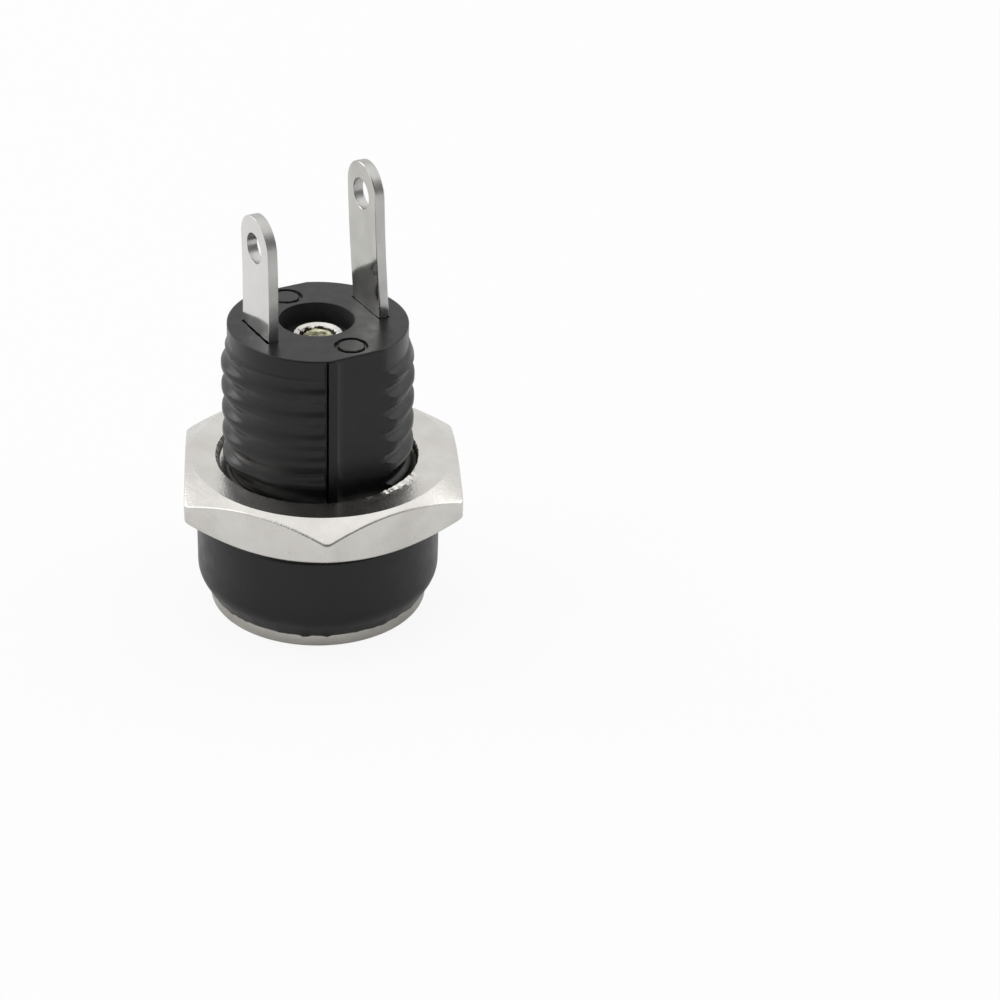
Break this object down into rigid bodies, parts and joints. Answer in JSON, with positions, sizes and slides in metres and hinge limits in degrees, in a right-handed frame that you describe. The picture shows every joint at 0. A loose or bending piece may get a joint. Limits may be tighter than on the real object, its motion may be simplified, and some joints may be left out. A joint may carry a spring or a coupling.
{
  "type": "dc barrel jack",
  "caption": "Panel-mount DC power socket: black threaded housing with flats, metal front ring with funnel mouth, centre pin, hexagon nut and solder lugs with eyelets.",
  "frame": {"origin": "centre of the front ring's face", "axes": "+Z along the socket's axis towards the lugs, X along the line of the two lugs, the flats of the shank facing +Y and -Y"},
  "size_m": [0.014, 0.0128, 0.0207],
  "materials": {
    "black_moulding": "moulded, satin",
    "nickel_ring": "turned and nickel plated",
    "pin_metal": "turned and nickel plated",
    "tinned_strip": "stamped and tinned",
    "nickel_nut": "nickel plated"
  },
  "bodies": {
    "root": {"housing": "black_moulding", "front_bushing": "nickel_ring", "center_pin": "pin_metal", "pin_terminal": "tinned_strip", "sleeve_contact": "tinned_strip", "hex_nut": "nickel_nut"}
  },
  "joints": []
}
